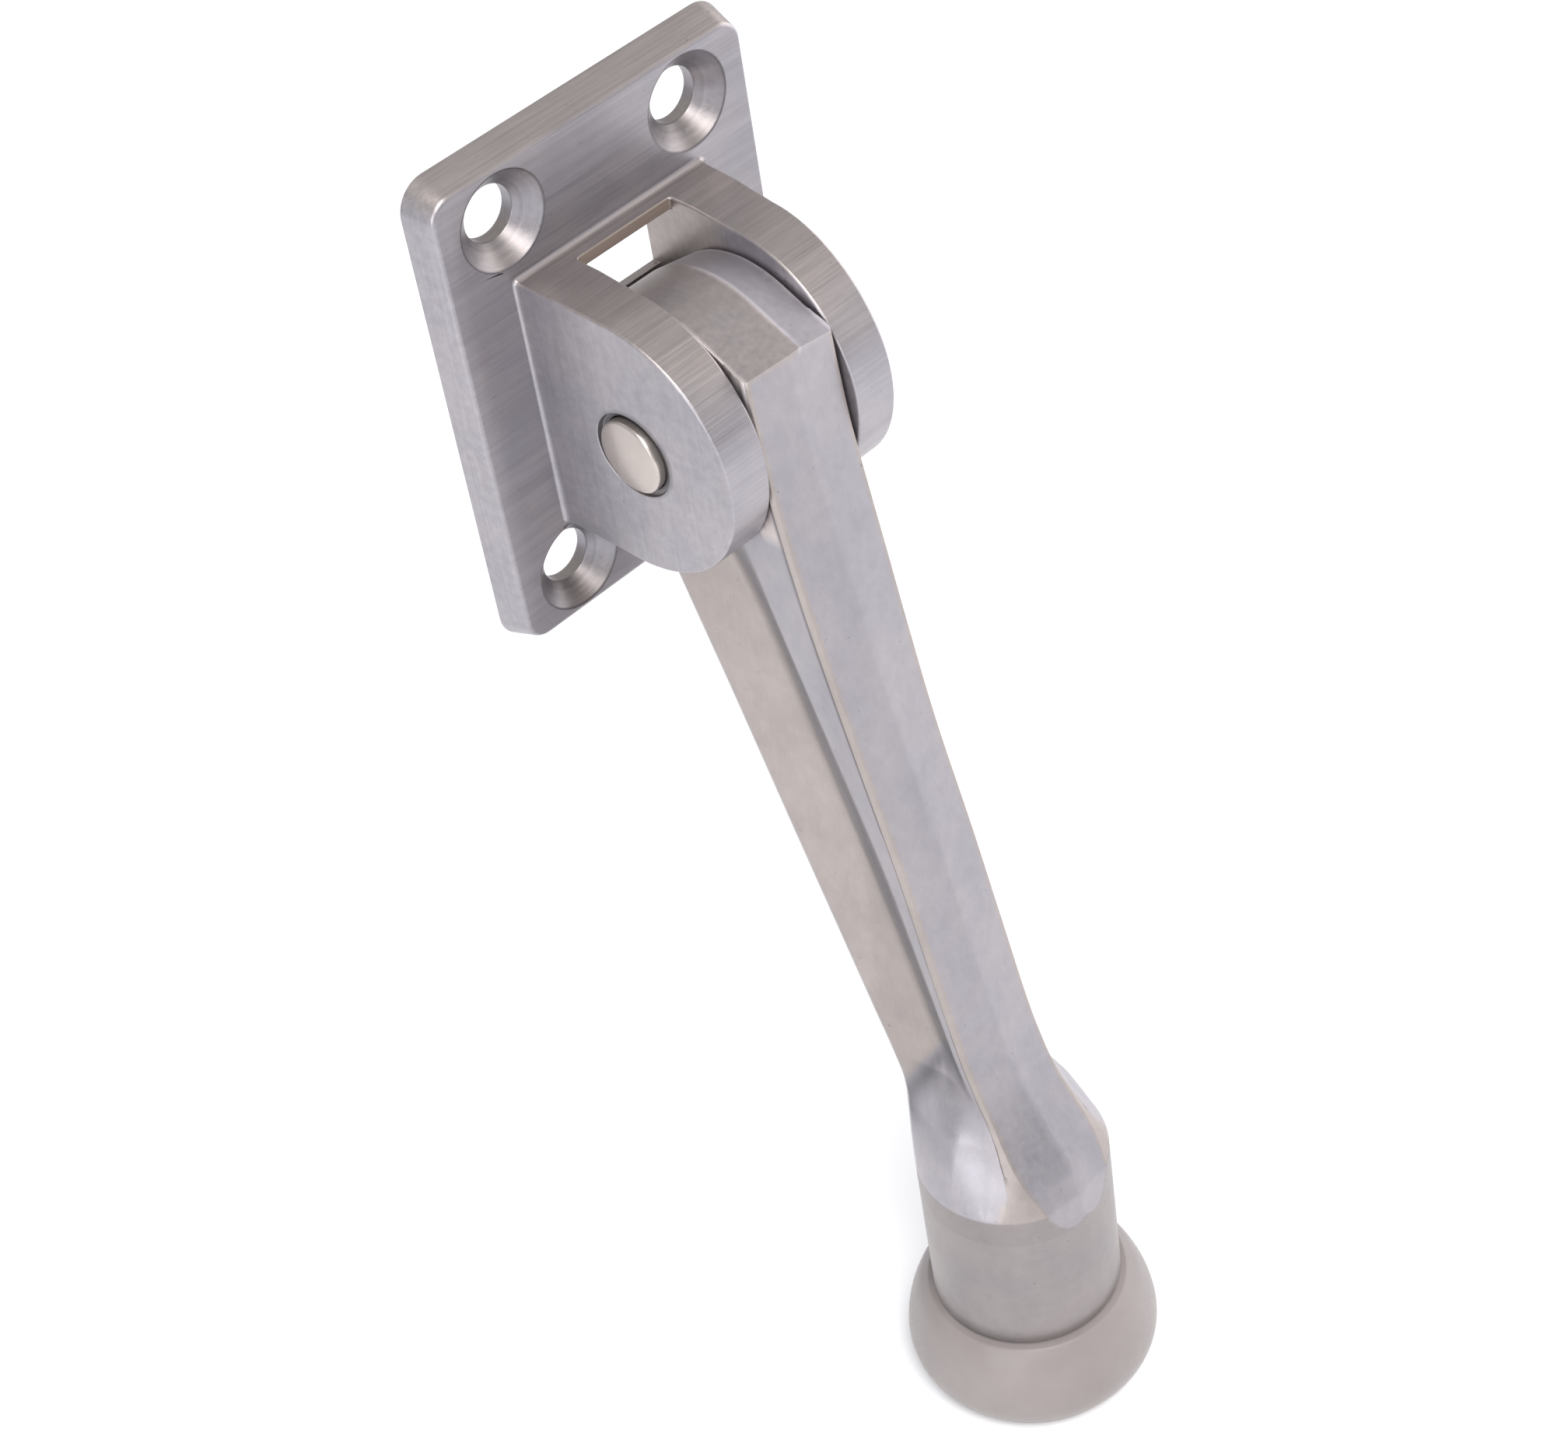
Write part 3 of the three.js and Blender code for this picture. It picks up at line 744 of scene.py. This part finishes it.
class Nodes:
    """A short way to add and join shader nodes."""

    def __init__(self, name):
        self.material = bpy.data.materials.new(name)
        self.material.use_nodes = True
        self.tree = self.material.node_tree
        self.shader = self.tree.nodes["Principled BSDF"]

    def add(self, kind, **settings):
        node = self.tree.nodes.new("ShaderNode" + kind)
        for key, value in settings.items():
            setattr(node, key, value)
        return node

    def join(self, out, into):
        self.tree.links.new(out, into)

    def math(self, operation, first, second=None):
        node = self.add("Math", operation=operation)
        for slot, value in enumerate((first, second)):
            if value is None:
                continue
            if isinstance(value, (int, float)):
                node.inputs[slot].default_value = value
            else:
                self.join(value, node.inputs[slot])
        return node.outputs[0]

    def noise(self, coordinates, stretch, detail=4.0, roughness=0.6):
        mapping = self.add("Mapping")
        mapping.inputs["Scale"].default_value = stretch
        self.join(coordinates, mapping.inputs["Vector"])
        node = self.add("TexNoise")
        node.inputs["Scale"].default_value = 1.0
        node.inputs["Detail"].default_value = detail
        node.inputs["Roughness"].default_value = roughness
        self.join(mapping.outputs[0], node.inputs["Vector"])
        return node.outputs["Fac"]

    def ramp(self, value, low, high, to_low=0.0, to_high=1.0):
        node = self.add("MapRange")
        node.inputs["From Min"].default_value = low
        node.inputs["From Max"].default_value = high
        node.inputs["To Min"].default_value = to_low
        node.inputs["To Max"].default_value = to_high
        self.join(value, node.inputs["Value"])
        return node.outputs[0]

    def blend(self, share, first, second):
        node = self.add("Mix", data_type="RGBA")
        for socket, value in ((node.inputs[6], first), (node.inputs[7], second)):
            if isinstance(value, tuple):
                socket.default_value = (*value, 1.0)
            else:
                self.join(value, socket)
        if isinstance(share, (int, float)):
            node.inputs[0].default_value = share
        else:
            self.join(share, node.inputs[0])
        return node.outputs[2]

    def blend_value(self, share, first, second):
        node = self.add("Mix", data_type="FLOAT")
        for socket, value in ((node.inputs[2], first), (node.inputs[3], second)):
            if isinstance(value, (int, float)):
                socket.default_value = value
            else:
                self.join(value, socket)
        self.join(share, node.inputs[0])
        return node.outputs[0]

    def bump(self, height, distance, strength=1.0, onto=None):
        node = self.add("Bump")
        node.inputs["Strength"].default_value = strength
        node.inputs["Distance"].default_value = distance * MM
        self.join(height, node.inputs["Height"])
        if onto is not None:
            self.join(onto, node.inputs["Normal"])
        return node.outputs[0]


# How often the finish changes in a metre, across the brushed lines and along them.
FINE, LONG = 4200.0, 90.0

METALLIC, RAW_METALLIC = 0.85, 0.2
# Where the painted shadow round the pin's head is centred, off the pivot, and how wide it fades out.
PIN_SHADOW_Y, PIN_SHADOW_Z, PIN_SHADOW_WIDTH = -0.35, 0.3, 1.0


def steel(name, cool, warm, grain, rough, along_x=True, up_warm=0.0, brown=None, dark_ring=0.0):
    """Satin steel: brushed lines, a cloudy tone, small dark pits, and warmer or darker places, among them
    painted shade and painted highlights from the shade attribute, a warm painted reflection on faces
    turned up, and with dark_ring a painted shadow round the pin's head and painted shade on the plate's
    front.
    """
    made = Nodes(name)
    place = made.add("TexCoord")
    where = place.outputs["Object"]
    facing = made.add("SeparateXYZ")
    made.join(place.outputs["Normal"], facing.inputs[0])
    spot = made.add("SeparateXYZ")
    made.join(where, spot.inputs[0])
    sideways = made.ramp(made.math("ABSOLUTE", facing.outputs["X"]), 0.55, 0.75)
    across = made.noise(where, (LONG, FINE, FINE) if along_x else (FINE * 0.4, FINE * 0.4, FINE * 0.25))
    upright = made.noise(where, (FINE, FINE, LONG))
    lines = made.blend_value(sideways, across, upright)
    if not along_x:
        around = made.noise(where, (LONG, LONG, FINE * 0.5), 3.0)
        barrel = within(made, spot.outputs["Z"], -200.0, PIVOT_Z + SOCKET_TURNED - 0.5, 0.5)
        lines = made.blend_value(barrel, lines, around)
    wide_stretch = (LONG * 0.5, FINE * 0.22, FINE * 0.22) if along_x else (700.0, 700.0, 500.0)
    wide = made.noise(where, wide_stretch, 3.0)
    clouds = made.noise(where, (130.0, 130.0, 110.0), 6.0, 0.6)
    specks = made.noise(where, (1500.0, 1500.0, 1500.0), 2.0, 0.5)
    brushed = made.ramp(lines, 0.25, 0.75, -grain, grain)
    tone = made.math("ADD", brushed, made.ramp(clouds, 0.3, 0.7, -0.07, 0.07))
    tone = made.math("ADD", tone, made.ramp(wide, 0.3, 0.7, -grain * 0.8, grain * 0.8))
    pits = made.ramp(specks, 0.72, 0.8, 0.0, -0.3)
    value = made.math("ADD", made.math("ADD", tone, pits), 1.0)
    # The shade attribute: the barrel's darker tone, painted shade, and below nought painted highlights.
    tone_and_painted_light = made.add("Attribute", attribute_name="shade")
    value = made.math("MULTIPLY", value, made.math("SUBTRACT", 1.0, tone_and_painted_light.outputs["Fac"]))
    if dark_ring:
        # A painted shadow round the pin's head.
        value = made.math("MULTIPLY", value, ring_shadow(made, spot, dark_ring))
        value = made.math("MULTIPLY", value, hole_tone(made, spot))
        # Painted shade on the plate's front face, where it faces forward.
        flat = within(made, spot.outputs["Y"], -PLATE_THICKNESS - 0.2, 0.0, 0.2)
        ahead = made.ramp(facing.outputs["Y"], -0.95, -0.6, 0.16, 0.0)
        value = made.math("MULTIPLY", value, made.math("SUBTRACT", 1.0, made.math("MULTIPLY", flat, ahead)))
    share = made.ramp(clouds, 0.35, 0.7, 0.0, 0.3)
    attribute = made.add("Attribute", attribute_name="warmth")
    share = made.math("ADD", share, attribute.outputs["Fac"])
    # A warm painted reflection on faces turned upwards.
    share = made.math("ADD", share, made.ramp(facing.outputs["Z"], 0.3, 0.8, 0.0, up_warm))
    if brown is not None:
        share = made.math("ADD", share, inside_mask(made, spot))
    share = made.math("MINIMUM", share, 1.0)
    colour = made.blend(share, cool, warm)
    if brown is not None:
        raw = ledge_mask(made, spot, facing)
        colour = made.blend(raw, colour, brown)
        made.join(made.ramp(raw, 0.0, 1.0, METALLIC, RAW_METALLIC), made.shader.inputs["Metallic"])
    shade = made.add("VectorMath", operation="SCALE")
    made.join(colour, shade.inputs[0])
    made.join(value, shade.inputs["Scale"])
    made.join(shade.outputs[0], made.shader.inputs["Base Color"])
    made.shader.inputs["Metallic"].default_value = METALLIC
    made.join(made.ramp(lines, 0.2, 0.8, rough - 0.06, rough + 0.08), made.shader.inputs["Roughness"])
    first = made.bump(lines, 0.006, 0.5)
    made.join(made.bump(specks, 0.01, 0.3, first), made.shader.inputs["Normal"])
    return made.material


def within(made, value, low, high, soft):
    """1 where the value (in mm) lies between low and high, falling to 0 over soft."""
    rise = made.ramp(value, (low - soft) * MM, low * MM)
    fall = made.ramp(value, high * MM, (high + soft) * MM, 1.0, 0.0)
    return made.math("MULTIPLY", rise, fall)


def inside_mask(made, spot):
    """The walls round the window, where the casting was never brushed."""
    across = within(made, made.math("ABSOLUTE", spot.outputs["X"]), 0.0, EAR_INNER + 0.1, 0.05)
    deep = within(made, spot.outputs["Y"], -11.0, 1.0, 3.0)
    level = within(made, spot.outputs["Z"], 2.0, EAR_TOP - 0.3, 0.3)
    return made.math("MULTIPLY", made.math("MULTIPLY", across, deep), level)


def hole_tone(made, spot):
    """The countersinks: darker than the plate, with turned rings and a dark line round the rim."""
    across = made.math("SUBTRACT", made.math("ABSOLUTE", spot.outputs["X"]), HOLE_X * MM)
    up = made.math("SUBTRACT", made.math("ABSOLUTE", spot.outputs["Z"]), HOLE_Z * MM)
    squares = made.math("ADD", made.math("MULTIPLY", across, across), made.math("MULTIPLY", up, up))
    away = made.math("SQRT", squares)
    in_hole = made.ramp(away, (HOLE_RIM - 0.05) * MM, (HOLE_RIM + 0.05) * MM, 1.0, 0.0)
    off_back = within(made, spot.outputs["Y"], -PLATE_THICKNESS - 0.5, -0.3, 0.2)
    rings = made.add("CombineXYZ")
    made.join(away, rings.inputs[0])
    turned_lines = made.noise(rings.outputs[0], (3000.0, 1.0, 1.0), 3.0)
    tone = made.ramp(turned_lines, 0.3, 0.7, 0.66, 0.9)
    line = made.math("ABSOLUTE", made.math("SUBTRACT", away, HOLE_RIM * MM))
    dark_line = made.ramp(line, 0.05 * MM, 0.16 * MM, 0.55, 1.0)
    tone = made.math("MULTIPLY", made.blend_value(in_hole, 1.0, tone), dark_line)
    return made.blend_value(off_back, 1.0, tone)


def ledge_mask(made, spot, facing):
    """The ledge's front face, brown like raw casting."""
    across = within(made, made.math("ABSOLUTE", spot.outputs["X"]), 0.0, EAR_INNER, 0.05)
    level = within(made, spot.outputs["Z"], EAR_TOP - LEDGE_HEIGHT - 0.3, EAR_TOP, 0.1)
    ahead = made.ramp(facing.outputs["Y"], -0.5, -0.8)
    return made.math("MULTIPLY", made.math("MULTIPLY", across, level), ahead)


def ring_shadow(made, spot, depth):
    """The painted shadow round the pin's head, on the ears' outer faces."""
    aside = made.math("SUBTRACT", spot.outputs["Y"], (PIVOT_Y + PIN_SHADOW_Y) * MM)
    up = made.math("SUBTRACT", spot.outputs["Z"], (PIVOT_Z + PIN_SHADOW_Z) * MM)
    squares = made.math("ADD", made.math("MULTIPLY", aside, aside), made.math("MULTIPLY", up, up))
    away = made.math("SQRT", squares)
    start = PIN_HEAD + 0.1
    return made.ramp(away, start * MM, (start + PIN_SHADOW_WIDTH) * MM, 1.0 - depth, 1.0)


RUBBER_DARK, RUBBER_PALE = (0.225, 0.195, 0.187), (0.27, 0.238, 0.229)


def rubber(name):
    made = Nodes(name)
    where = made.add("TexCoord").outputs["Object"]
    clouds = made.noise(where, (90.0, 90.0, 90.0), 4.0)
    grain = made.noise(where, (2600.0, 2600.0, 2600.0), 3.0)
    colour = made.blend(made.ramp(clouds, 0.3, 0.7), RUBBER_DARK, RUBBER_PALE)
    made.join(colour, made.shader.inputs["Base Color"])
    made.join(made.ramp(grain, 0.3, 0.7, 0.42, 0.56), made.shader.inputs["Roughness"])
    made.join(made.bump(grain, 0.02, 0.25), made.shader.inputs["Normal"])
    made.shader.inputs["Sheen Weight"].default_value = 0.15
    return made.material


def finish_as(made, material, body, slot, *nodes):
    made.data.materials.clear()
    made.data.materials.append(material)
    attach(made, body)
    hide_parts(*nodes)


COOL, WARM, BROWN = (0.355, 0.34, 0.368), (0.385, 0.343, 0.325), (0.26, 0.205, 0.17)
bracket_steel = steel("bracket_steel", COOL, WARM, 0.1, 0.38, up_warm=0.9, brown=BROWN, dark_ring=0.75)
arm_steel = steel("arm_steel", COOL, WARM, 0.05, 0.42, along_x=False)
pin_steel = steel("pin_steel", (0.5, 0.45, 0.42), (0.56, 0.5, 0.45), 0.02, 0.3)
spring_steel = steel("spring_steel", (0.36, 0.37, 0.38), (0.4, 0.39, 0.37), 0.02, 0.28)

finish_as(make_bracket(), bracket_steel, "mount", "bracket_metal", "bracket")
finish_as(make_arm(), arm_steel, "swing_arm", "arm_metal", "arm")
finish_as(make_pin(), pin_steel, "mount", "rivet_metal", "pivot_rivet")
finish_as(make_tip(), rubber("tip_rubber"), "swing_arm", "tip_rubber", "rubber_tip")
for side in ("left", "right"):
    washer = frame["nodes"]["spring_washer_" + side]
    washer.data.materials.clear()
    washer.data.materials.append(spring_steel)


# Floor, light and camera.


def plain_material(name, colour, roughness):
    made = Nodes(name)
    made.shader.inputs["Base Color"].default_value = (*colour, 1.0)
    made.shader.inputs["Roughness"].default_value = roughness
    return made.material


def make_floor():
    reach, gap = 4000.0, 0.02
    level = cad_low.z / MM - gap
    ring = [(-reach, -reach), (reach, -reach), (reach, reach), (-reach, reach)]
    floor = new_object("floor", [(x, y, level) for x, y in ring], [(0, 1, 2, 3)])
    floor.data.materials.append(plain_material("paper", (0.95, 0.95, 0.95), 0.9))


# What the lights point at. Their places and sizes are in metres.
LIT_POINT = Vector((0.0, -0.03, -0.05))


def soft_light(name, place, size, power, colour):
    lamp = bpy.data.lights.new(name, "AREA")
    lamp.shape = "RECTANGLE"
    lamp.size, lamp.size_y = size
    lamp.energy = power
    lamp.color = colour
    made = bpy.data.objects.new(name, lamp)
    made.location = place
    made.rotation_mode = "QUATERNION"
    made.rotation_quaternion = (LIT_POINT - Vector(place)).to_track_quat("-Z", "Y")
    bpy.context.scene.collection.objects.link(made)


def make_room():
    world = bpy.data.worlds.new("studio")
    world.use_nodes = True
    world.node_tree.nodes["Background"].inputs["Color"].default_value = (0.95, 0.96, 1.0, 1.0)
    world.node_tree.nodes["Background"].inputs["Strength"].default_value = 0.6
    bpy.context.scene.world = world
    soft_light("key", (-0.3, -0.6, 0.95), (0.6, 0.6), 12.0, (1.0, 0.99, 0.99))
    soft_light("left", (-0.9, -0.35, 0.25), (0.5, 0.5), 3.5, (0.95, 0.97, 1.0))
    soft_light("right", (0.8, -0.2, 0.05), (0.9, 0.9), 6.0, (1.0, 0.98, 1.0))
    bpy.context.scene.view_settings.view_transform = "Standard"


# The camera's place in the CAD part's frame, which way its right and down point, and its lens.
CAMERA_PLACE = Vector((-159.7, -219.1, 190.65)) * MM
CAMERA_RIGHT = Vector((0.700, -0.702, -0.128))
CAMERA_DOWN = Vector((-0.547, -0.413, -0.728))
FOCAL = 75.83


def make_camera():
    forward = CAMERA_RIGHT.cross(CAMERA_DOWN).normalized()
    right = CAMERA_RIGHT.normalized()
    up = right.cross(forward)
    camera = bpy.data.objects.new("camera", bpy.data.cameras.new("camera"))
    camera.data.lens = FOCAL
    camera.data.sensor_width = 36.0
    camera.data.clip_start = 0.01
    turn = Matrix((right, up, -forward)).transposed().to_4x4()
    camera.matrix_world = Matrix.Translation(CAMERA_PLACE) @ turn
    bpy.context.scene.collection.objects.link(camera)
    bpy.context.scene.camera = camera


make_floor()
make_room()
make_camera()

bpy.context.view_layer.update()
